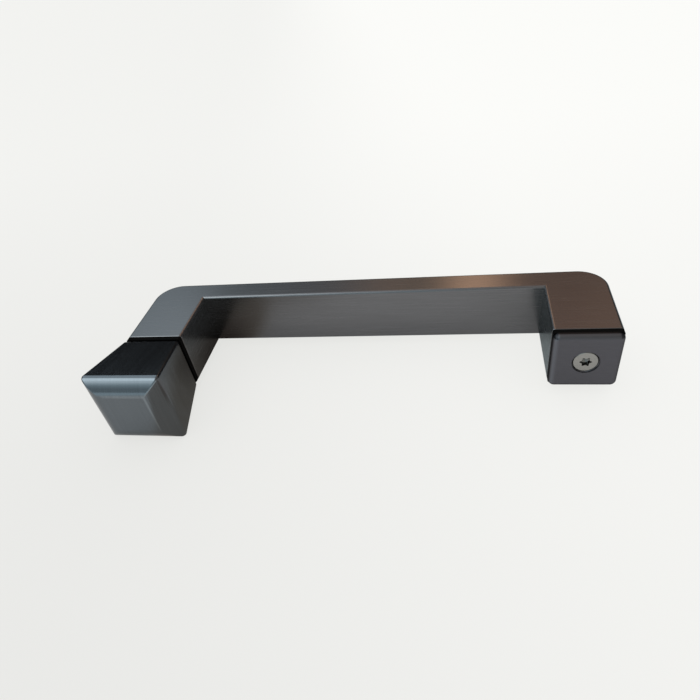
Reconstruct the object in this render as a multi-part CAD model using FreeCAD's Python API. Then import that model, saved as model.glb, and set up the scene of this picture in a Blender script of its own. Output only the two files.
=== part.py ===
import FreeCAD, Part
import math
import os

# Square-section pull handle for a glass shower door.
# Millimetres. X runs along the grip, +Y away from the door, +Z up.
# The origin lies midway between the two fixings, on the plane where the handle's gaskets meet the
# glass. On the near side of that plane (-Y) sit the knob and the end plate that clamp the glass;
# they are shown drawn up against the handle, as it is before it is fitted to a door.

V = FreeCAD.Vector

# Fixings
fixing_spacing = 203.2      # between the two holes in the door
thread_clearance = 0.05     # radial, between a thread's plain core and its tapped hole
drill_point_angle = 118.0   # full angle at the bottom of a drilled hole
mouth_chamfer = 0.6         # at the mouth of each tapped hole

# Handle body
leg_side = 29.0             # legs are square, and the grip is as high as a leg
leg_length = 46.15          # leg end to the back of the grip
grip_thickness = 13.0
outer_corner_radius = 13.0
body_edge_radius = 1.3      # along the long edges
leg_end_chamfer = 0.3       # around each leg's end

# Gaskets
gasket_thickness = 1.25
gasket_inset = 0.1          # a gasket is this much smaller all round than its leg
gasket_corner_radius = 1.0
gasket_hole_play = 1.0      # radial, round the stud or screw, where a sleeve sits in the door

# Knob
knob_neck_side = 29.0       # where it meets the gasket
knob_rim_side = 39.0        # at its widest
knob_flat_side = 23.0       # the flat front face
knob_flare_depth = 32.65    # neck to rim
knob_crown_depth = 4.8      # rim to front face
crown_arc_turn = 38.0       # degrees that the domed border turns through, rim to front face
knob_rim_radius = 3.0
knob_crease_radius = 8.0    # where the domed border meets the front face
knob_corner_radius = 1.1    # along the flared corners
knob_neck_radius = 3.0      # around the back edge

# Knob stud
stud_diameter = 8.0
stud_in_leg = 20.0          # threaded length inside the leg
stud_in_knob = 18.0
stud_chamfer = 0.8
tapping_runout = 4.0        # a tapped hole is this much deeper than what it holds

# End plate
plate_side = 29.1
plate_thickness = 2.95
plate_corner_radius = 2.8
plate_edge_radius = 2.6     # around the front face
plate_hole_play = 0.2       # radial, round the screw

# End plate screw, countersunk with a six-lobe socket
screw_diameter = 6.0
screw_length = 24.0         # head's top face to tip
screw_head_diameter = 10.8
screw_head_land = 0.5       # straight rim above the cone
screw_head_recess = 0.45    # head's top face below the plate's front face
screw_head_chamfer = 0.35   # around the head's rim
screw_head_gap = 0.45       # radial, round the head where it sits below the plate's face
screw_cone_angle = 90.0
screw_tip_chamfer = 0.8
socket_lobes = 6
socket_across_lobes = 5.1
socket_across_valleys = 3.66
socket_lobe_radius = 0.42
socket_depth = 2.0          # to where the drilled point begins

# An edge is found by its place to within this
place_tolerance = 0.0001

# Places that follow from the sizes above
half_spacing = fixing_spacing / 2
half_leg = leg_side / 2
leg_end_y = gasket_thickness
near_gasket_y = -gasket_thickness
grip_back_y = leg_end_y + leg_length
grip_inner_y = grip_back_y - grip_thickness
plate_front_y = near_gasket_y - plate_thickness


def cylinder_along_y(x, y_from, y_to, radius):
    """A plain cylinder on a fixing's axis."""
    low = min(y_from, y_to)
    return Part.makeCylinder(radius, abs(y_to - y_from), V(x, low, 0), V(0, 1, 0))


def same(a, b):
    """Whether two places or lengths are the same."""
    return abs(a - b) < place_tolerance


def drilled_point(radius):
    """How deep the cone is that a drill of this radius leaves."""
    return radius / math.tan(math.radians(drill_point_angle / 2))


def rounded_square_prism(x, y_low, y_high, side, corner_radius):
    """A square prism on a fixing's axis, its four corners along Y rounded."""
    half = side / 2
    block = Part.makeBox(side, y_high - y_low, side, V(x - half, y_low, -half))
    along_y = [e for e in block.Edges if same(e.BoundBox.YLength, y_high - y_low)]
    return block.makeFillet(corner_radius, along_y)


def edges_on_plane_y(shape, y):
    """All edges that lie in the plane at this Y."""
    return [e for e in shape.Edges if same(e.BoundBox.YMin, y) and same(e.BoundBox.YMax, y)]


def tapped_hole(x, y_mouth, direction, radius, depth):
    """The space of a blind hole: chamfered mouth, plain core and drill point."""
    y_end = y_mouth + direction * depth
    outline = [
        V(x, y_mouth, 0),
        V(x + radius + mouth_chamfer, y_mouth, 0),
        V(x + radius, y_mouth + direction * mouth_chamfer, 0),
        V(x + radius, y_end, 0),
        V(x, y_end + direction * drilled_point(radius), 0),
    ]
    face = Part.Face(Part.makePolygon(outline + outline[:1]))
    return face.revolve(V(x, 0, 0), V(0, 1, 0), 360)


def handle_body():
    """One casting: two square legs and the flat grip between them, mitred sharp inside the corners."""
    outer_x = half_spacing + half_leg
    inner_x = half_spacing - half_leg
    r = outer_corner_radius
    bulge = r * (1 - math.sqrt(0.5))

    def line(a, b):
        return Part.LineSegment(V(*a, 0), V(*b, 0)).toShape()

    def arc(a, b, c):
        return Part.Arc(V(*a, 0), V(*b, 0), V(*c, 0)).toShape()

    outline = Part.Wire([
        line((-outer_x, leg_end_y), (-outer_x, grip_back_y - r)),
        arc((-outer_x, grip_back_y - r), (-outer_x + bulge, grip_back_y - bulge), (-outer_x + r, grip_back_y)),
        line((-outer_x + r, grip_back_y), (outer_x - r, grip_back_y)),
        arc((outer_x - r, grip_back_y), (outer_x - bulge, grip_back_y - bulge), (outer_x, grip_back_y - r)),
        line((outer_x, grip_back_y - r), (outer_x, leg_end_y)),
        line((outer_x, leg_end_y), (inner_x, leg_end_y)),
        line((inner_x, leg_end_y), (inner_x, grip_inner_y)),
        line((inner_x, grip_inner_y), (-inner_x, grip_inner_y)),
        line((-inner_x, grip_inner_y), (-inner_x, leg_end_y)),
        line((-inner_x, leg_end_y), (-outer_x, leg_end_y)),
    ])
    body = Part.Face(outline).extrude(V(0, 0, leg_side))
    body.translate(V(0, 0, -half_leg))

    def on_broad_face(edge):
        box = edge.BoundBox
        return same(abs(box.ZMin), half_leg) and same(box.ZMin, box.ZMax)

    leg_end_edges = edges_on_plane_y(body, leg_end_y)
    long_edges = [e for e in body.Edges if on_broad_face(e) and not any(e.isSame(k) for k in leg_end_edges)]
    body = body.makeFillet(body_edge_radius, long_edges)
    body = body.makeChamfer(leg_end_chamfer, edges_on_plane_y(body, leg_end_y))

    stud_hole = tapped_hole(-half_spacing, leg_end_y, 1, stud_diameter / 2 + thread_clearance,
                            stud_in_leg + tapping_runout)
    screw_in_leg = screw_length - (leg_end_y - plate_front_y) + screw_head_recess
    screw_hole = tapped_hole(half_spacing, leg_end_y, 1, screw_diameter / 2 + thread_clearance,
                             screw_in_leg + tapping_runout)
    return body.cut(stud_hole).cut(screw_hole)


def gasket(x, y_low, core_diameter):
    """A thin square washer with a round hole."""
    y_high = y_low + gasket_thickness
    pad = rounded_square_prism(x, y_low, y_high, leg_side - 2 * gasket_inset, gasket_corner_radius)
    return pad.cut(cylinder_along_y(x, y_low, y_high, core_diameter / 2 + gasket_hole_play))


def knob_profile():
    """Half of the knob's side view as (half width, distance from the neck), front face last.

    The flare is straight. The border round the front face is an arc through a set turn, so it is
    steepest at the rim and nearly flat where it meets the front face.
    """
    rim = V(knob_rim_side / 2, knob_flare_depth, 0)
    flat = V(knob_flat_side / 2, knob_flare_depth + knob_crown_depth, 0)
    chord = flat.sub(rim)
    radius = chord.Length / (2 * math.sin(math.radians(crown_arc_turn / 2)))
    sagitta = radius * (1 - math.cos(math.radians(crown_arc_turn / 2)))
    outward = V(-chord.y, chord.x, 0).normalize()
    if outward.y < 0:
        outward = outward.negative()
    middle = rim.add(flat).multiply(0.5).add(outward.multiply(sagitta))
    return rim, middle, flat


def knob_slab(turned):
    """The knob's side view as a slab wider than the knob, its neck, rim and crease rounded.

    Turned, the slab's thickness runs along X in place of Z. What two such slabs share is the knob,
    with mitred corners down the flare and across the domed border.
    """
    neck = V(knob_neck_side / 2, 0, 0)
    rim, middle, flat = knob_profile()

    def mirrored(point):
        return V(-point.x, point.y, 0)

    outline = Part.Wire([
        Part.LineSegment(mirrored(neck), neck).toShape(),
        Part.LineSegment(neck, rim).toShape(),
        Part.Arc(rim, middle, flat).toShape(),
        Part.LineSegment(flat, mirrored(flat)).toShape(),
        Part.Arc(mirrored(flat), mirrored(middle), mirrored(rim)).toShape(),
        Part.LineSegment(mirrored(rim), mirrored(neck)).toShape(),
    ])
    slab_thickness = 2 * knob_rim_side
    slab = Part.Face(outline).extrude(V(0, 0, slab_thickness))
    slab.translate(V(0, 0, -slab_thickness / 2))

    def edges_through(point):
        found = []
        for edge in slab.Edges:
            box = edge.BoundBox
            across_slab = same(box.ZLength, slab_thickness)
            if across_slab and same(abs(box.XMin), point.x) and same(box.YMin, point.y):
                found.append(edge)
        return found

    slab = slab.makeFillet(knob_neck_radius, edges_through(neck))
    slab = slab.makeFillet(knob_rim_radius, edges_through(rim))
    slab = slab.makeFillet(knob_crease_radius, edges_through(flat))
    if turned:
        slab.rotate(V(0, 0, 0), V(0, 1, 0), 90)
    return slab


def knob():
    """Solid square knob, flared from neck to rim, with a domed border round its flat front face."""
    form = knob_slab(False).common(knob_slab(True)).removeSplitter()

    def on_diagonal(point):
        return same(abs(point.x), abs(point.z))

    def is_mitre(edge):
        start = edge.valueAt(edge.FirstParameter)
        end = edge.valueAt(edge.LastParameter)
        return on_diagonal(start) and on_diagonal(end) and not same(start.y, end.y)

    form = form.makeFillet(knob_corner_radius, [e for e in form.Edges if is_mitre(e)])
    form.rotate(V(0, 0, 0), V(0, 0, 1), 180)
    form.translate(V(-half_spacing, near_gasket_y, 0))
    hole = tapped_hole(-half_spacing, near_gasket_y, -1, stud_diameter / 2 + thread_clearance,
                       stud_in_knob + tapping_runout)
    return form.cut(hole)


def knob_stud():
    """The hidden stud that draws the knob, the door and the leg together."""
    y_low = near_gasket_y - stud_in_knob
    y_high = leg_end_y + stud_in_leg
    stud = cylinder_along_y(-half_spacing, y_low, y_high, stud_diameter / 2)
    ends = edges_on_plane_y(stud, y_low) + edges_on_plane_y(stud, y_high)
    return stud.makeChamfer(stud_chamfer, ends)


def countersunk_form(y_top, top_radius, cone_bottom_radius):
    """A cone on the screw's axis that narrows from y_top, into the door."""
    height = (top_radius - cone_bottom_radius) / math.tan(math.radians(screw_cone_angle / 2))
    return Part.makeCone(top_radius, cone_bottom_radius, height, V(half_spacing, y_top, 0), V(0, 1, 0))


def end_plate():
    """Square cap plate with a softly rounded front edge and a countersunk hole."""
    plate = rounded_square_prism(half_spacing, plate_front_y, near_gasket_y, plate_side, plate_corner_radius)
    plate = plate.makeFillet(plate_edge_radius, edges_on_plane_y(plate, plate_front_y))
    hole_radius = screw_diameter / 2 + plate_hole_play
    through = cylinder_along_y(half_spacing, plate_front_y, near_gasket_y, hole_radius)
    mouth_radius = screw_head_diameter / 2 + screw_head_gap
    rise = screw_head_gap / math.tan(math.radians(screw_cone_angle / 2))
    cone_top = plate_front_y + screw_head_recess + screw_head_land - rise
    mouth = cylinder_along_y(half_spacing, plate_front_y, cone_top, mouth_radius)
    return plate.cut(through).cut(mouth).cut(countersunk_form(cone_top, mouth_radius, hole_radius))


def six_lobe_wire(y):
    """The socket's outline: six round lobes joined by six round valleys, each tangent to the next."""
    turn = 360 / socket_lobes
    lobe_r = socket_lobe_radius
    lobe_at = socket_across_lobes / 2 - lobe_r
    valley_bottom = socket_across_valleys / 2
    reach = lobe_at * math.cos(math.radians(turn / 2))
    valley_r = lobe_r ** 2 - lobe_at ** 2 - valley_bottom ** 2 + 2 * reach * valley_bottom
    valley_r /= 2 * (valley_bottom - reach - lobe_r)
    valley_at = valley_bottom + valley_r

    def polar(radius, degrees):
        a = math.radians(degrees)
        return V(half_spacing + radius * math.cos(a), y, radius * math.sin(a))

    def tangent_point(lobe_angle, valley_angle):
        lobe = polar(lobe_at, lobe_angle)
        valley = polar(valley_at, valley_angle)
        return lobe.add(valley.sub(lobe).normalize().multiply(lobe_r))

    arcs = []
    for k in range(socket_lobes):
        lobe = turn * k
        valley = lobe + turn / 2
        start = tangent_point(lobe, lobe - turn / 2)
        end = tangent_point(lobe, valley)
        following = tangent_point(lobe + turn, valley)
        arcs.append(Part.Arc(start, polar(socket_across_lobes / 2, lobe), end).toShape())
        arcs.append(Part.Arc(end, polar(valley_bottom, valley), following).toShape())
    return Part.Wire(arcs)


def plate_screw():
    """Countersunk screw that clamps the end plate, the door and the other leg."""
    head_top = plate_front_y + screw_head_recess
    head_radius = screw_head_diameter / 2
    core_radius = screw_diameter / 2
    cone_top = head_top + screw_head_land
    rim = cylinder_along_y(half_spacing, head_top, cone_top, head_radius)
    cone = countersunk_form(cone_top, head_radius, core_radius)
    tip = head_top + screw_length
    shank = cylinder_along_y(half_spacing, cone_top, tip, core_radius)
    shank = shank.makeChamfer(screw_tip_chamfer, edges_on_plane_y(shank, tip))
    screw = rim.fuse([cone, shank]).removeSplitter()
    screw = screw.makeChamfer(screw_head_chamfer, edges_on_plane_y(screw, head_top))
    socket = Part.Face(six_lobe_wire(head_top)).extrude(V(0, socket_depth, 0))
    point_radius = socket_across_valleys / 2
    point = Part.makeCone(point_radius, 0, drilled_point(point_radius),
                          V(half_spacing, head_top + socket_depth, 0), V(0, 1, 0))
    return screw.cut(socket).cut(point)


parts = {
    "handle_body": handle_body(),
    "knob_leg_gasket": gasket(-half_spacing, 0, stud_diameter),
    "knob_gasket": gasket(-half_spacing, near_gasket_y, stud_diameter),
    "knob": knob(),
    "knob_stud": knob_stud(),
    "plate_leg_gasket": gasket(half_spacing, 0, screw_diameter),
    "plate_gasket": gasket(half_spacing, near_gasket_y, screw_diameter),
    "end_plate": end_plate(),
    "plate_screw": plate_screw(),
}

os.makedirs("parts", exist_ok=True)
for node, shape in parts.items():
    shape.exportStep("parts/" + node + ".step")
    print(node, "solids", len(shape.Solids), "valid", shape.isValid(), "volume", round(shape.Volume, 1))
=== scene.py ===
import math

import bpy
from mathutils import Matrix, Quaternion, Vector


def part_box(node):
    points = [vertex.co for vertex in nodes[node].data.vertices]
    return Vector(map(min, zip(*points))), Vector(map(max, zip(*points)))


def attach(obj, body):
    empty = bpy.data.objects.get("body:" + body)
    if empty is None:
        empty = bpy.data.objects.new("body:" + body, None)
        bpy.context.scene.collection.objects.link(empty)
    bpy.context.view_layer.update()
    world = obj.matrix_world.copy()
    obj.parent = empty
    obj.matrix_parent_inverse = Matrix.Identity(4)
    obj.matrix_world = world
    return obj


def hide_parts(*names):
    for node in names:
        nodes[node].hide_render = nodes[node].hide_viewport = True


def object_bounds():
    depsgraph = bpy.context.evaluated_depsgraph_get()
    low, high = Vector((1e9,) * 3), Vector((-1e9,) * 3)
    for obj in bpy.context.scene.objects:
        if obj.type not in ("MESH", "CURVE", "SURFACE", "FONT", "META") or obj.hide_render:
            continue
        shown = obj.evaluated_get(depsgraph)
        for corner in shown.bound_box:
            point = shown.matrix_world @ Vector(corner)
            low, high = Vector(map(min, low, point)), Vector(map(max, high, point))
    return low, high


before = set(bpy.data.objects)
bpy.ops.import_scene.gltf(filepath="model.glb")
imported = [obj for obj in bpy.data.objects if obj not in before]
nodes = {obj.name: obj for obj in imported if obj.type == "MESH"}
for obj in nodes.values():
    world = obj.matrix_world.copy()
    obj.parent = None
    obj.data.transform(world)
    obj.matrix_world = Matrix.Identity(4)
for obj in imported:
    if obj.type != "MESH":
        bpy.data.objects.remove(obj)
cad_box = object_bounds()


# Handle body
# One casting: two square legs and the flat grip between them. It is brushed along the grip and
# lengthwise down the legs' sides, and then coated in dark gunmetal.

def dress(node_name, material):
    """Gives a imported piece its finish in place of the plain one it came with."""
    mesh = nodes[node_name].data
    mesh.materials.clear()
    mesh.materials.append(material)


def new_finish(name, colour, metallic, roughness):
    """A new material with one surface shader. Gives the material, its node tree and the shader."""
    material = bpy.data.materials.new(name)
    material.use_nodes = True
    tree = material.node_tree
    shader = tree.nodes["Principled BSDF"]
    shader.inputs["Base Color"].default_value = (*colour, 1)
    shader.inputs["Metallic"].default_value = metallic
    shader.inputs["Roughness"].default_value = roughness
    return material, tree, shader


def put(tree, socket, value):
    """Feeds a socket with a number, a tuple or another node's output."""
    if isinstance(value, bpy.types.NodeSocket):
        tree.links.new(value, socket)
    else:
        socket.default_value = value


def calc(tree, operation, *inputs):
    """A Math node."""
    node = tree.nodes.new("ShaderNodeMath")
    node.operation = operation
    for socket, value in zip(node.inputs, inputs):
        put(tree, socket, value)
    return node.outputs["Value"]


def both(tree, *shares):
    """Shares multiplied together, so that only a place that has all of them gets all of it."""
    result = shares[0]
    for share in shares[1:]:
        result = calc(tree, "MULTIPLY", result, share)
    return result


def fade(tree, value, start, end, low, high):
    """Goes smoothly from low to high while the value goes from start to end."""
    node = tree.nodes.new("ShaderNodeMapRange")
    node.interpolation_type = "SMOOTHSTEP"
    put(tree, node.inputs["Value"], value)
    for name, number in (("From Min", start), ("From Max", end), ("To Min", low), ("To Max", high)):
        node.inputs[name].default_value = number
    return node.outputs["Result"]


def band(tree, value, rise, fall, peak=1):
    """Goes from 0 to its peak over one span of the value, and back to 0 over a later span."""
    return both(tree, fade(tree, value, *rise, 0, peak), fade(tree, value, *fall, 1, 0))


def blend(tree, share, first, second):
    """Mixes two colours: all of the first at a share of 0, all of the second at 1."""
    node = tree.nodes.new("ShaderNodeMix")
    node.data_type = "RGBA"
    put(tree, node.inputs[0], share)
    put(tree, node.inputs[6], first)
    put(tree, node.inputs[7], second)
    return node.outputs[2]


def scaled(tree, colour, factor):
    """A colour made paler or darker by a factor that varies over the surface."""
    node = tree.nodes.new("ShaderNodeVectorMath")
    node.operation = "SCALE"
    node.inputs[0].default_value = colour
    tree.links.new(factor, node.inputs["Scale"])
    return node.outputs["Vector"]


def coordinates(tree, kind):
    """The X, Y and Z of the place on the piece ("Object") or of the way it faces ("Normal")."""
    source = tree.nodes.new("ShaderNodeTexCoord")
    split = tree.nodes.new("ShaderNodeSeparateXYZ")
    tree.links.new(source.outputs[kind], split.inputs["Vector"])
    return split.outputs


def normal_part(tree, axis):
    """How far the surface faces along one axis of the piece, from 0 to 1 either way."""
    return calc(tree, "ABSOLUTE", coordinates(tree, "Normal")[axis])


def fine_lines(tree, line_size, detail):
    """Noise stretched into fine lines. The line size is a typical length along X, Y and Z."""
    place = tree.nodes.new("ShaderNodeTexCoord")
    stretch = tree.nodes.new("ShaderNodeMapping")
    stretch.inputs["Scale"].default_value = [1 / size for size in line_size]
    tree.links.new(place.outputs["Object"], stretch.inputs["Vector"])
    noise = tree.nodes.new("ShaderNodeTexNoise")
    noise.inputs["Scale"].default_value = 1
    noise.inputs["Detail"].default_value = detail
    noise.inputs["Roughness"].default_value = 0.6
    tree.links.new(stretch.outputs["Vector"], noise.inputs["Vector"])
    return noise.outputs["Fac"]


def low_relief(tree, shader, height, depth):
    """Raises the surface by a height that varies over it, where 1 is the whole depth."""
    bump = tree.nodes.new("ShaderNodeBump")
    bump.inputs["Strength"].default_value = 1
    bump.inputs["Distance"].default_value = depth
    tree.links.new(height, bump.inputs["Height"])
    tree.links.new(bump.outputs["Normal"], shader.inputs["Normal"])


def ring_tangent(tree, axis):
    """The direction round an axis. A surface that is brushed along the axis spreads its shine so."""
    tangent = tree.nodes.new("ShaderNodeTangent")
    tangent.direction_type = "RADIAL"
    tangent.axis = axis
    return tangent.outputs["Tangent"]


def brushed(tree, shader, lines, colour, contrast, wear_and_highlight, edge, roughness, relief):
    """Puts brush lines into a metal's colour, roughness and relief, and makes its edges paler: wear on some
    pieces, a painted highlight on others.
    """
    lines_from, lines_to = 0.25, 0.75
    paling_from, paling_to = 0.3, 0.7
    least_paling = 0.4
    roughness_swing = 0.03
    shade = fade(tree, lines, lines_from, lines_to, 1 - contrast, 1 + contrast)
    # The paler edge is real wear on the body and the plate, and a painted highlight on the knob.
    wear_and_highlight_share = both(tree, edge, fade(tree, lines, paling_from, paling_to, least_paling, 1))
    tree.links.new(blend(tree, wear_and_highlight_share, scaled(tree, colour, shade), (*wear_and_highlight, 1)), shader.inputs["Base Color"])
    tree.links.new(fade(tree, lines, lines_from, lines_to, roughness - roughness_swing,
                        roughness + roughness_swing), shader.inputs["Roughness"])
    low_relief(tree, shader, lines, relief)


GUNMETAL = (0.152, 0.152, 0.155)
GUNMETAL_RUBBED = (0.18, 0.18, 0.182)
GUNMETAL_AT_GRAZING = (0.64, 0.72, 0.74, 1)
BODY_ROUGHNESS = 0.25
LINE_LENGTH = 0.03
LINE_WIDTH = 0.0005
LINE_DETAIL = 3
LINE_RELIEF = 0.000002

body_finish, body_tree, body_shader = new_finish("body_gunmetal", GUNMETAL, metallic=1.0,
                                                 roughness=BODY_ROUGHNESS)
body_shader.inputs["Specular Tint"].default_value = GUNMETAL_AT_GRAZING
body_shader.inputs["Anisotropic"].default_value = 0.7
lines_along_grip = fine_lines(body_tree, (LINE_LENGTH, LINE_WIDTH, LINE_WIDTH), LINE_DETAIL)
lines_along_leg = fine_lines(body_tree, (LINE_WIDTH, LINE_LENGTH, LINE_WIDTH), LINE_DETAIL)
on_leg_side = fade(body_tree, normal_part(body_tree, "X"), 0.5, 0.85, 0, 1)
body_lines = blend(body_tree, on_leg_side, lines_along_grip, lines_along_leg)
body_tree.links.new(blend(body_tree, on_leg_side, ring_tangent(body_tree, "X"), (0, 0, 1, 1)),
                    body_shader.inputs["Tangent"])
body_edges = band(body_tree, normal_part(body_tree, "Z"), (0.05, 0.4), (0.6, 0.95))
brushed(body_tree, body_shader, body_lines, GUNMETAL, contrast=0.08, wear_and_highlight=GUNMETAL_RUBBED, edge=body_edges,
        roughness=BODY_ROUGHNESS, relief=LINE_RELIEF)
dress("handle_body", body_finish)


# Knob
# Solid square knob of the same metal, screwed up to the glass on the stud. It is brushed from back
# to front and on down over its domed border, so that the lines stand upright on its face.

def either(tree, *shares):
    """The greatest of several shares."""
    result = shares[0]
    for share in shares[1:]:
        result = calc(tree, "MAXIMUM", result, share)
    return result


KNOB_GUNMETAL = (0.138, 0.154, 0.166)
# Paler colour of the painted highlight on the knob's crease and mitre.
KNOB_GUNMETAL_HIGHLIGHT = (0.2, 0.225, 0.24)
KNOB_GUNMETAL_AT_GRAZING = (0.65, 0.65, 0.65, 1)
# Colours of painted shade on the knob's long corners and on its rim at the upper right.
KNOB_CORNER_SHADE = (0.05, 0.055, 0.06, 1)
KNOB_RIM_SHADE = (0.095, 0.098, 0.102, 1)
KNOB_ROUGHNESS = 0.15
MITRE_LINE = (0.0001, 0.0008)
MITRE_STARTS = (0.0105, 0.0125)
RIM_FRONT = (0.0036, 0.0042)
RIM_BACK = (0.0058, 0.0066)
RIM_AT_RIGHT = (0.0176, 0.0186)
RIM_AT_TOP = (0.001, 0.011)

knob_finish, knob_tree, knob_shader = new_finish("knob_gunmetal", KNOB_GUNMETAL, metallic=1.0,
                                                 roughness=KNOB_ROUGHNESS)
knob_shader.inputs["Specular Tint"].default_value = KNOB_GUNMETAL_AT_GRAZING
knob_shader.inputs["Anisotropic"].default_value = 0.6
knob_shader.inputs["Anisotropic Rotation"].default_value = 0.25
knob_tree.links.new(ring_tangent(knob_tree, "X"), knob_shader.inputs["Tangent"])
knob_lines = fine_lines(knob_tree, (LINE_WIDTH, LINE_LENGTH, LINE_LENGTH), LINE_DETAIL)

# A painted highlight makes the crease round the flat face paler on the top and on the right, and their mitre
# too.
knob_low, knob_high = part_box("knob")
knob_place = coordinates(knob_tree, "Object")
knob_facing = normal_part(knob_tree, "Y")
from_middle = calc(knob_tree, "SUBTRACT", knob_place["X"], (knob_low.x + knob_high.x) / 2)
past_mitre = calc(knob_tree, "SUBTRACT", from_middle, knob_place["Z"])
right_of_mitre = fade(knob_tree, past_mitre, 0, 0.001, 0, 1)
left_of_mitre = calc(knob_tree, "SUBTRACT", 1.0, right_of_mitre)
on_upper_right = fade(knob_tree, calc(knob_tree, "ADD", from_middle, knob_place["Z"]), -0.001, 0.005, 0, 1)
top_crease = band(knob_tree, knob_facing, (0.965, 0.985), (0.9965, 0.999))
right_crease = band(knob_tree, knob_facing, (0.978, 0.988), (0.996, 0.9985), peak=1.4)
knob_crease_highlight = calc(knob_tree, "ADD", both(knob_tree, right_crease, right_of_mitre),
                   both(knob_tree, top_crease, left_of_mitre))
knob_mitre_highlight = both(knob_tree, fade(knob_tree, calc(knob_tree, "ABSOLUTE", past_mitre), *MITRE_LINE, 1, 0),
                  fade(knob_tree, knob_facing, 0.65, 0.8, 0, 1),
                  fade(knob_tree, calc(knob_tree, "ABSOLUTE", from_middle), *MITRE_STARTS, 0, 1))
knob_painted_highlight = both(knob_tree, either(knob_tree, knob_crease_highlight, knob_mitre_highlight), on_upper_right)
brushed(knob_tree, knob_shader, knob_lines, KNOB_GUNMETAL, contrast=0.06, wear_and_highlight=KNOB_GUNMETAL_HIGHLIGHT,
        edge=knob_painted_highlight, roughness=KNOB_ROUGHNESS, relief=LINE_RELIEF)

# Painted shade darkens the long corners of the flared part and the upper half of the rim on the right.
knob_corner_shade = both(knob_tree, fade(knob_tree, normal_part(knob_tree, "Z"), 0.3, 0.5, 0, 1),
                   fade(knob_tree, normal_part(knob_tree, "X"), 0.03, 0.12, 0, 1),
                   fade(knob_tree, knob_facing, 0.4, 0.5, 1, 0))
knob_base = blend(knob_tree, knob_corner_shade, knob_shader.inputs["Base Color"].links[0].from_socket,
                  KNOB_CORNER_SHADE)
from_front = calc(knob_tree, "SUBTRACT", knob_place["Y"], knob_low.y)
knob_rim_shade = both(knob_tree, band(knob_tree, from_front, RIM_FRONT, RIM_BACK),
                fade(knob_tree, from_middle, *RIM_AT_RIGHT, 0, 1),
                fade(knob_tree, knob_place["Z"], *RIM_AT_TOP, 0, 1))
knob_tree.links.new(blend(knob_tree, knob_rim_shade, knob_base, KNOB_RIM_SHADE), knob_shader.inputs["Base Color"])
dress("knob", knob_finish)


# Knob stud
# Threaded steel rod that is screwed into the leg and into the knob. It is hidden once the knob is
# screwed up.

def deselect_all():
    """Leaves edit mode, with nothing selected."""
    if bpy.context.object and bpy.context.object.mode != "OBJECT":
        bpy.ops.object.mode_set(mode="OBJECT")
    bpy.ops.object.select_all(action="DESELECT")


def select_parts(piece, kind, wanted):
    """In edit mode, selects only the vertices or edges that are wanted."""
    bpy.ops.object.mode_set(mode="EDIT")
    bpy.ops.mesh.select_mode(type=kind)
    bpy.ops.mesh.select_all(action="DESELECT")
    bpy.ops.object.mode_set(mode="OBJECT")
    parts = {"VERT": piece.data.vertices, "EDGE": piece.data.edges}[kind]
    for part in parts:
        part.select = wanted(part)
    bpy.ops.object.mode_set(mode="EDIT")


def is_level(piece, edge):
    """Whether an edge of a piece keeps the same Y."""
    rounding = 0.000001
    ends = [piece.data.vertices[v].co.y for v in edge.vertices]
    return abs(ends[0] - ends[1]) < rounding


def threaded_rod(name, centre_x, y_low, y_high, crest_radius, pitch):
    """A round rod along Y with a raised right-hand thread and a chamfer at each end."""
    thread_height = 0.6 * pitch
    end_chamfer = 0.6 * thread_height
    sunk = 0.1 * thread_height
    root_width = 0.86 * pitch
    crest_share = 0.15
    first_turn = 0.8 * pitch
    bare_pitches = 1.6
    steps_per_turn = 36
    sides = 48
    smoothed_below = math.radians(35)
    core_radius = crest_radius - thread_height

    deselect_all()
    bpy.ops.mesh.primitive_cylinder_add(vertices=sides, radius=core_radius, depth=y_high - y_low,
                                        location=(centre_x, (y_low + y_high) / 2, 0),
                                        rotation=(math.radians(90), 0, 0))
    rod = bpy.context.object
    rod.name = name
    bpy.ops.object.transform_apply(location=True, rotation=True, scale=False)
    select_parts(rod, "EDGE", lambda edge: is_level(rod, edge))
    bpy.ops.mesh.bevel(offset=end_chamfer, offset_type="OFFSET", segments=1)
    bpy.ops.object.mode_set(mode="OBJECT")

    deselect_all()
    bpy.ops.mesh.primitive_plane_add(size=1, location=(centre_x, y_low + first_turn, 0))
    ridge = bpy.context.object
    bpy.ops.object.mode_set(mode="EDIT")
    bpy.ops.transform.resize(value=(thread_height + sunk, root_width, 1))
    bpy.ops.transform.translate(value=(crest_radius - (thread_height + sunk) / 2, 0, 0))
    select_parts(ridge, "VERT", lambda v: v.co.x > crest_radius - thread_height / 2)
    bpy.ops.transform.resize(value=(1, crest_share, 1))
    bpy.ops.mesh.select_all(action="SELECT")
    bpy.ops.mesh.delete(type="ONLY_FACE")
    bpy.ops.object.mode_set(mode="OBJECT")
    winding = ridge.modifiers.new("winding", "SCREW")
    winding.axis = "Y"
    winding.screw_offset = pitch
    winding.iterations = int((y_high - y_low) / pitch - bare_pitches)
    winding.steps = steps_per_turn
    winding.render_steps = steps_per_turn
    winding.use_merge_vertices = False
    bpy.ops.object.modifier_apply(modifier=winding.name)
    bpy.ops.object.transform_apply(location=True, rotation=False, scale=False)
    bpy.ops.object.mode_set(mode="EDIT")
    bpy.ops.mesh.select_all(action="SELECT")
    bpy.ops.mesh.fill_holes(sides=4)
    bpy.ops.mesh.select_all(action="SELECT")
    bpy.ops.mesh.normals_make_consistent(inside=False)
    bpy.ops.object.mode_set(mode="OBJECT")

    rod.select_set(True)
    bpy.context.view_layer.objects.active = rod
    bpy.ops.object.join()
    bpy.ops.object.shade_smooth_by_angle(angle=smoothed_below)
    return rod


def distance(tree, first, second):
    """How far away a place is that lies this far off in two directions square to each other."""
    squares = [calc(tree, "POWER", step, 2.0) for step in (first, second)]
    return calc(tree, "POWER", calc(tree, "ADD", *squares), 0.5)


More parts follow.
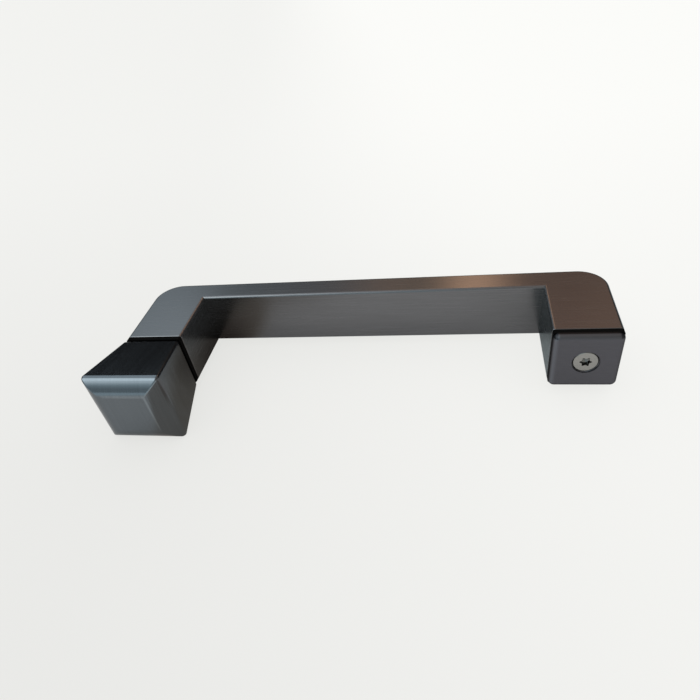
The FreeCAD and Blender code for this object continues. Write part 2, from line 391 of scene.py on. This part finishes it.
def turned_steel(name, colour, roughness, axis_x):
    """Plain steel with the fine rings that turning leaves round an axis along Y.

    Gives the material, its node tree, its shader and the distances from the axis and along it.
    """
    rings_per_metre = 9000
    rings_from, rings_to = 0.3, 0.7
    roughness_swing = 0.06
    material, tree, shader = new_finish(name, colour, metallic=1.0, roughness=roughness)
    place = tree.nodes.new("ShaderNodeTexCoord")
    centred = tree.nodes.new("ShaderNodeMapping")
    centred.inputs["Location"].default_value = (-axis_x, 0, 0)
    tree.links.new(place.outputs["Object"], centred.inputs["Vector"])
    split = tree.nodes.new("ShaderNodeSeparateXYZ")
    tree.links.new(centred.outputs["Vector"], split.inputs["Vector"])
    along = split.outputs["Y"]
    across = distance(tree, split.outputs["X"], split.outputs["Z"])
    rings = tree.nodes.new("ShaderNodeTexNoise")
    rings.noise_dimensions = "1D"
    rings.inputs["Scale"].default_value = rings_per_metre
    rings.inputs["Detail"].default_value = 2
    tree.links.new(calc(tree, "ADD", across, along), rings.inputs["W"])
    tree.links.new(fade(tree, rings.outputs["Fac"], rings_from, rings_to, roughness - roughness_swing,
                        roughness + roughness_swing), shader.inputs["Roughness"])
    low_relief(tree, shader, rings.outputs["Fac"], LINE_RELIEF)
    return material, tree, shader, across, along


STUD_STEEL = (0.5, 0.49, 0.47)
STUD_ROUGHNESS = 0.3
STUD_PITCH = 0.00125
stud_low, stud_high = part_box("knob_stud")
stud_axis = (stud_low.x + stud_high.x) / 2
stud_radius = (stud_high.x - stud_low.x) / 2

stud = threaded_rod("knob_stud_threaded", stud_axis, stud_low.y, stud_high.y, stud_radius, STUD_PITCH)
stud.data.materials.append(turned_steel("stud_steel", STUD_STEEL, STUD_ROUGHNESS, stud_axis)[0])
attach(stud, "root")
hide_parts("knob_stud")


# Gaskets
# Washers stamped from black vinyl sheet, one for each face of the glass at each fixing. They are
# pressed between the leg and the knob or the end plate.

VINYL = (0.002, 0.002, 0.002)
VINYL_DARKEST = (0.0012, 0.0012, 0.0012, 1)
VINYL_PALEST = (0.003, 0.003, 0.003, 1)
VINYL_ROUGHNESS = 0.7
VINYL_ROUGHNESS_SWING = 0.1
VINYL_SHINE = 0.03
VINYL_GRAIN_SIZE = 0.0004
VINYL_GRAIN_RELIEF = 0.00002

vinyl, vinyl_tree, vinyl_shader = new_finish("gasket_vinyl", VINYL, metallic=0.0,
                                             roughness=VINYL_ROUGHNESS)
vinyl_shader.inputs["Specular IOR Level"].default_value = VINYL_SHINE
vinyl_grain = fine_lines(vinyl_tree, [VINYL_GRAIN_SIZE] * 3, 4)
vinyl_tree.links.new(blend(vinyl_tree, vinyl_grain, VINYL_DARKEST, VINYL_PALEST),
                     vinyl_shader.inputs["Base Color"])
vinyl_tree.links.new(fade(vinyl_tree, vinyl_grain, 0.3, 0.7, VINYL_ROUGHNESS - VINYL_ROUGHNESS_SWING,
                          VINYL_ROUGHNESS + VINYL_ROUGHNESS_SWING), vinyl_shader.inputs["Roughness"])
low_relief(vinyl_tree, vinyl_shader, vinyl_grain, VINYL_GRAIN_RELIEF)
for gasket in ("knob_leg_gasket", "knob_gasket", "plate_leg_gasket", "plate_gasket"):
    dress(gasket, vinyl)


# End plate
# Square cap plate of the same metal, machined flat, with its front edge rounded over. It is satin
# rather than brushed, and a little darker than the body. Its screw holds it against the leg.

PLATE_GUNMETAL = (0.099, 0.098, 0.108)
PLATE_GUNMETAL_RUBBED = (0.1, 0.1, 0.105)
PLATE_GUNMETAL_AT_GRAZING = (0.45, 0.45, 0.45, 1)
# Colours of the painted highlight on the plate's left edge and the painted shade on its sides and corners.
PLATE_LEFT_EDGE_HIGHLIGHT = (0.14, 0.145, 0.162, 1)
PLATE_SIDE_SHADE = (0.02, 0.02, 0.022, 1)
PLATE_ROUGHNESS = 0.4
PLATE_LINE_LENGTH = 0.004
PLATE_LINE_RELIEF = 0.000001
PLATE_LEFT_EDGE = (0.0008, 0.0028)
PLATE_LEFT_SIDE = (0.0001, 0.0004)

plate_finish, plate_tree, plate_shader = new_finish("plate_gunmetal", PLATE_GUNMETAL, metallic=1.0,
                                                    roughness=PLATE_ROUGHNESS)
plate_shader.inputs["Specular Tint"].default_value = PLATE_GUNMETAL_AT_GRAZING
plate_shader.inputs["Anisotropic"].default_value = 0.3
plate_tree.links.new(ring_tangent(plate_tree, "X"), plate_shader.inputs["Tangent"])
plate_lines = fine_lines(plate_tree, (PLATE_LINE_LENGTH, LINE_WIDTH, LINE_WIDTH), LINE_DETAIL)
plate_facing = normal_part(plate_tree, "Y")
plate_edges = band(plate_tree, plate_facing, (0.05, 0.4), (0.7, 0.97))
brushed(plate_tree, plate_shader, plate_lines, PLATE_GUNMETAL, contrast=0.05, wear_and_highlight=PLATE_GUNMETAL_RUBBED,
        edge=plate_edges, roughness=PLATE_ROUGHNESS, relief=PLATE_LINE_RELIEF)

# Painted shade darkens its sides and corners against its face, and a painted highlight makes the front edge
# on the left paler.
plate_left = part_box("end_plate")[0].x
from_left = calc(plate_tree, "SUBTRACT", coordinates(plate_tree, "Object")["X"], plate_left)
left_edge_highlight = both(plate_tree, fade(plate_tree, from_left, *PLATE_LEFT_EDGE, 1, 0),
                 fade(plate_tree, plate_facing, 0.5, 0.8, 0, 1))
plate_base = blend(plate_tree, left_edge_highlight, plate_shader.inputs["Base Color"].links[0].from_socket,
                   PLATE_LEFT_EDGE_HIGHLIGHT)
plate_corner_shade = both(plate_tree, fade(plate_tree, normal_part(plate_tree, "X"), 0.15, 0.35, 0, 1),
                    fade(plate_tree, normal_part(plate_tree, "Z"), 0.25, 0.45, 0, 0.8))
plate_shade = either(plate_tree, plate_corner_shade, fade(plate_tree, plate_facing, 0.1, 0.4, 1, 0),
                    fade(plate_tree, from_left, *PLATE_LEFT_SIDE, 1, 0))
plate_tree.links.new(blend(plate_tree, plate_shade, plate_base, PLATE_SIDE_SHADE),
                     plate_shader.inputs["Base Color"])
dress("end_plate", plate_finish)


# End plate screw
# Stainless countersunk screw with a six-lobe socket. Its head sits a little below the plate's face,
# and its thread takes hold in the leg.

SCREW_STEEL = (0.3, 0.295, 0.275)
# Colour of the painted shade inside the socket.
SCREW_SOCKET_SHADE = (0.19, 0.19, 0.18, 1)
SCREW_ROUGHNESS = 0.3
SCREW_RADIUS = 0.003
SCREW_PITCH = 0.001
SHANK_IN_HEAD = 0.0002
HEAD_LAND = 0.0005
HEAD_RIM_BEVEL = 0.00012
HEAD_RIM_WIDTH = 0.0005
HEAD_RIM_DEPTH = 0.0004
SOCKET_EDGE = (0.0026, 0.0028)
SOCKET_MOUTH_DEPTH = (0.00005, 0.0003)
screw_low, screw_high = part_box("plate_screw")
screw_axis = (screw_low.x + screw_high.x) / 2
head_radius = (screw_high.x - screw_low.x) / 2
head_bottom = screw_low.y + HEAD_LAND + head_radius - SCREW_RADIUS

shank = threaded_rod("screw_shank", screw_axis, head_bottom - SHANK_IN_HEAD, screw_high.y, SCREW_RADIUS,
                     SCREW_PITCH)
deselect_all()
screw = bpy.data.objects.new("plate_screw_threaded", nodes["plate_screw"].data.copy())
bpy.context.scene.collection.objects.link(screw)
screw.select_set(True)
bpy.context.view_layer.objects.active = screw
bpy.ops.object.mode_set(mode="EDIT")
bpy.ops.mesh.select_all(action="SELECT")
bpy.ops.mesh.remove_doubles(threshold=0.000001)
bpy.ops.mesh.customdata_custom_splitnormals_clear()
bpy.ops.mesh.select_all(action="SELECT")
bpy.ops.mesh.bisect(plane_co=(0, head_bottom, 0), plane_no=(0, 1, 0), use_fill=True, clear_outer=True)
bpy.ops.object.mode_set(mode="OBJECT")


def is_head_rim(edge):
    """Whether an edge runs round the rim of the screw's head, at its top."""
    ends = [screw.data.vertices[v].co for v in edge.vertices]
    outside = all(math.hypot(p.x - screw_axis, p.z) > head_radius - HEAD_RIM_WIDTH for p in ends)
    return is_level(screw, edge) and outside and ends[0].y < screw_low.y + HEAD_RIM_DEPTH


select_parts(screw, "EDGE", is_head_rim)
bpy.ops.mesh.bevel(offset=HEAD_RIM_BEVEL, offset_type="OFFSET", segments=3)
bpy.ops.object.mode_set(mode="OBJECT")
shank.select_set(True)
bpy.ops.object.join()
bpy.ops.object.shade_smooth_by_angle(angle=math.radians(30))

screw.data.materials.clear()
screw_steel, steel_tree, steel_shader, from_axis, along_screw = turned_steel(
    "screw_steel", SCREW_STEEL, SCREW_ROUGHNESS, screw_axis)
# Painted shade darkens the inside of the socket.
socket_starts, socket_dark = [screw_low.y + depth for depth in SOCKET_MOUTH_DEPTH]
socket_shade = both(steel_tree, fade(steel_tree, from_axis, *SOCKET_EDGE, 1, 0),
                 fade(steel_tree, along_screw, socket_starts, socket_dark, 0, 1))
steel_tree.links.new(blend(steel_tree, socket_shade, (*SCREW_STEEL, 1), SCREW_SOCKET_SHADE),
                     steel_shader.inputs["Base Color"])
screw.data.materials.append(screw_steel)
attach(screw, "root")
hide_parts("plate_screw")


# Floor
# A wide flat floor in pale matt paint, with painted light that makes it a little paler to the right
# and to the back. It lies just under the knob, and the camera sees only a faint shadow on it.

FLOOR_SIZE = 8
FLOOR_GAP = 0.0002
FLOOR_PAINT = (0.87, 0.87, 0.87)
FLOOR_TINT = (1.008, 1.01, 0.982)
FLOOR_LEVEL_LEFT = 0.793
FLOOR_LEVEL_RIGHT = 0.883
FLOOR_LEVEL_ADDED_BEHIND = 0.097
FLOOR_LEAN = 0.24
FLOOR_SHADOW_SHARE = 0.15
FLOOR_SHADOW_SHARE_IN_METAL = 0.8

deselect_all()
bpy.ops.mesh.primitive_plane_add(size=FLOOR_SIZE, location=(0, 0, cad_box[0][2] - FLOOR_GAP))
floor = bpy.context.object
floor.name = "floor"
floor_paint, floor_tree, floor_shader = new_finish("floor_paint", FLOOR_PAINT, metallic=0.0, roughness=0.9)
floor_place = coordinates(floor_tree, "Object")
to_the_right = calc(floor_tree, "ADD", floor_place["X"],
                    calc(floor_tree, "MULTIPLY", floor_place["Y"], FLOOR_LEAN))
floor_level = calc(floor_tree, "ADD",
                   fade(floor_tree, to_the_right, -0.15, 0.16, FLOOR_LEVEL_LEFT, FLOOR_LEVEL_RIGHT),
                   fade(floor_tree, floor_place["Y"], -0.3, 0.42, 0, FLOOR_LEVEL_ADDED_BEHIND))
floor_seen = scaled(floor_tree, FLOOR_TINT, floor_level)

# In the metal alone, the floor shows a painted reflection: painted light before the grip that darkens
# towards it, painted shade in three patches round the knob and its leg, and painted light again far out at
# the near left.
floor_path = floor_tree.nodes.new("ShaderNodeLightPath")
in_mirror = either(floor_tree, floor_path.outputs["Is Glossy Ray"], floor_path.outputs["Is Transmission Ray"])


def floor_patch(centre, reach, inner):
    """The share of a soft oval patch on the floor, from 1 inside to 0 at its reach along X and Y."""
    steps = [calc(floor_tree, "DIVIDE", calc(floor_tree, "SUBTRACT", floor_place[axis], middle), size)
             for axis, middle, size in zip("XY", centre, reach)]
    return both(floor_tree, in_mirror, fade(floor_tree, distance(floor_tree, *steps), inner, 1.0, 1, 0))


before_grip = floor_patch(centre=(-0.005, 0.008), reach=(0.075, 0.05), inner=0.75)
before_grip_level = fade(floor_tree, floor_place["Y"], 0.008, 0.02, 1.2, 0.58)
shade_before_knob = floor_patch(centre=(-0.064, -0.05), reach=(0.048, 0.05), inner=0.65)
shade_knob_to_grip = floor_patch(centre=(-0.081, 0.014), reach=(0.0265, 0.075), inner=0.3)
shade_under_leg = floor_patch(centre=(-0.09, 0.035), reach=(0.03, 0.045), inner=0.2)
to_near_left = calc(floor_tree, "MULTIPLY", calc(floor_tree, "ADD", floor_place["X"], floor_place["Y"]), -1.0)
far_out = both(floor_tree, in_mirror, fade(floor_tree, to_near_left, 0.19, 0.4, 0, 1))

floor_seen = blend(floor_tree, before_grip, floor_seen, before_grip_level)
seen_shares = [calc(floor_tree, "MULTIPLY", floor_path.outputs["Is Camera Ray"], 1 - FLOOR_SHADOW_SHARE),
               calc(floor_tree, "MULTIPLY", in_mirror, 1 - FLOOR_SHADOW_SHARE_IN_METAL)]
for share, colour in (
    (shade_before_knob, (0.45, 0.42, 0.39, 1)),
    (shade_knob_to_grip, (0.36, 0.32, 0.275, 1)),
    (shade_under_leg, (0.1, 0.08, 0.07, 1)),
    (far_out, (0.95, 1.15, 1.25, 1)),
):
    floor_seen = blend(floor_tree, share, floor_seen, colour)
    seen_shares.append(share)

floor_glow = floor_tree.nodes.new("ShaderNodeEmission")
floor_tree.links.new(floor_seen, floor_glow.inputs["Color"])
floor_mix = floor_tree.nodes.new("ShaderNodeMixShader")
floor_tree.links.new(either(floor_tree, *seen_shares), floor_mix.inputs["Fac"])
floor_tree.links.new(floor_shader.outputs["BSDF"], floor_mix.inputs[1])
floor_tree.links.new(floor_glow.outputs["Emission"], floor_mix.inputs[2])
floor_tree.links.new(floor_mix.outputs["Shader"], floor_tree.nodes["Material Output"].inputs["Surface"])
floor.data.materials.append(floor_paint)


# Studio light
# A plain white sky lights everything evenly. The metal mirrors a room instead: a large soft lamp
# high up on the left, a cool window behind on the left, a narrow warm lamp straight behind with a
# warm wall to its right, and a low wall that is dark except at its far ends.

world = bpy.data.worlds.new("studio")
bpy.context.scene.world = world
world.use_nodes = True
sky = world.node_tree
sky_place = sky.nodes.new("ShaderNodeTexCoord")
sky_split = sky.nodes.new("ShaderNodeSeparateXYZ")
sky.links.new(sky_place.outputs["Generated"], sky_split.inputs["Vector"])
# Azimuth runs from straight behind the handle to the right, elevation from the horizon up.
azimuth = calc(sky, "DEGREES", calc(sky, "ARCTAN2", sky_split.outputs["X"], sky_split.outputs["Y"]))
elevation = calc(sky, "DEGREES", calc(sky, "ARCSINE", sky_split.outputs["Z"]))


def room_patch(room, direction, inner, outer, colour):
    """Puts a round soft patch of one colour over the room, at an azimuth and an elevation."""
    azimuth_angle, elevation_angle = [math.radians(angle) for angle in direction]
    level = math.cos(elevation_angle)
    towards = sky.nodes.new("ShaderNodeVectorMath")
    towards.operation = "DOT_PRODUCT"
    towards.inputs[1].default_value = (level * math.sin(azimuth_angle), level * math.cos(azimuth_angle),
                                       math.sin(elevation_angle))
    sky.links.new(sky_place.outputs["Generated"], towards.inputs[0])
    away = calc(sky, "DEGREES", calc(sky, "ARCCOSINE", towards.outputs["Value"]))
    return blend(sky, fade(sky, away, inner, outer, 1, 0), room, (*colour, 1))


def wall_ramp(stops):
    """A wall's colour all round, as (azimuth, colour) stops from left to right."""
    first, last = stops[0][0], stops[-1][0]
    ramp = sky.nodes.new("ShaderNodeValToRGB")
    ramp.color_ramp.interpolation = "EASE"
    while len(ramp.color_ramp.elements) < len(stops):
        ramp.color_ramp.elements.new(1)
    for element, (angle, colour) in zip(ramp.color_ramp.elements, stops):
        element.position = (angle - first) / (last - first)
        element.color = (*colour, 1)
    across = sky.nodes.new("ShaderNodeMapRange")
    sky.links.new(azimuth, across.inputs["Value"])
    across.inputs["From Min"].default_value = first
    across.inputs["From Max"].default_value = last
    sky.links.new(across.outputs["Result"], ramp.inputs["Fac"])
    return ramp.outputs["Color"]


back_wall = wall_ramp([
    (-120, (0.62, 0.8, 0.9)),
    (-50, (1.05, 1.2, 1.3)),
    (-33, (1.26, 1.42, 1.54)),
    (-28, (0.42, 0.47, 0.5)),
    (-17, (0.48, 0.48, 0.5)),
    (-9, (0.92, 0.64, 0.49)),
    (-3.4, (0.45, 0.38, 0.3)),
    (0.5, (3.5, 2.1, 1.35)),
    (2.5, (3.5, 2.1, 1.35)),
    (6.3, (0.48, 0.34, 0.27)),
    (11, (0.55, 0.33, 0.24)),
    (18, (0.82, 0.5, 0.35)),
    (24, (0.66, 0.45, 0.35)),
    (34, (0.14, 0.13, 0.13)),
    (90, (0.4, 0.39, 0.38)),
])
low_wall = wall_ramp([
    (-120, (0.48, 0.58, 0.63)),
    (-60, (0.04, 0.04, 0.045)),
    (-10, (0.05, 0.05, 0.05)),
    (20, (0.12, 0.11, 0.11)),
    (60, (0.12, 0.12, 0.12)),
    (120, (0.65, 0.65, 0.63)),
])
CEILING_LEFT = (1.05, 1.12, 1.2, 1)
CEILING_RIGHT = (0.62, 0.58, 0.56, 1)
ceiling = blend(sky, fade(sky, sky_split.outputs["X"], -0.45, 0.15, 0, 1), CEILING_LEFT, CEILING_RIGHT)
# The low wall's top edge stands a little higher to the right.
above_low_wall = calc(sky, "SUBTRACT", elevation, fade(sky, azimuth, -22, -14, 0, 2.5))
room = blend(sky, fade(sky, above_low_wall, 24, 28, 0, 1), low_wall, back_wall)
room = blend(sky, fade(sky, elevation, 48, 65, 0, 1), room, ceiling)
room = room_patch(room, direction=(-143, 27), inner=2, outer=18, colour=(0.85, 1.06, 1.14))
room = room_patch(room, direction=(-120, 46), inner=12, outer=32, colour=(2.8, 3.1, 3.25))
in_metal = sky.nodes.new("ShaderNodeLightPath")
sky_colour = blend(sky, in_metal.outputs["Is Glossy Ray"], (1, 1, 1, 1), room)
sky.links.new(sky_colour, sky.nodes["Background"].inputs["Color"])
sky.nodes["Background"].inputs["Strength"].default_value = 1.0


# Camera
# It stands in front of the handle and above it, a little to the right, and looks down at it. It is
# rolled by about ten degrees.

camera_place = Vector((0.04955, -0.19642, 0.16965))
camera_aim = Vector((-0.00340, -0.00162, 0))
camera_roll = math.radians(-10.37)
camera_data = bpy.data.cameras.new("camera")
camera_data.lens = 28.469
camera_data.sensor_width = 36
camera_data.shift_x = -0.00022
camera_data.shift_y = 0.01529
camera_data.clip_start = 0.01
camera = bpy.data.objects.new("camera", camera_data)
bpy.context.scene.collection.objects.link(camera)
look = (camera_aim - camera_place).to_track_quat("-Z", "Y")
camera.rotation_mode = "QUATERNION"
camera.rotation_quaternion = look @ Quaternion((0, 0, 1), camera_roll)
camera.location = camera_place
bpy.context.scene.camera = camera

bpy.context.scene.view_settings.view_transform = "Standard"
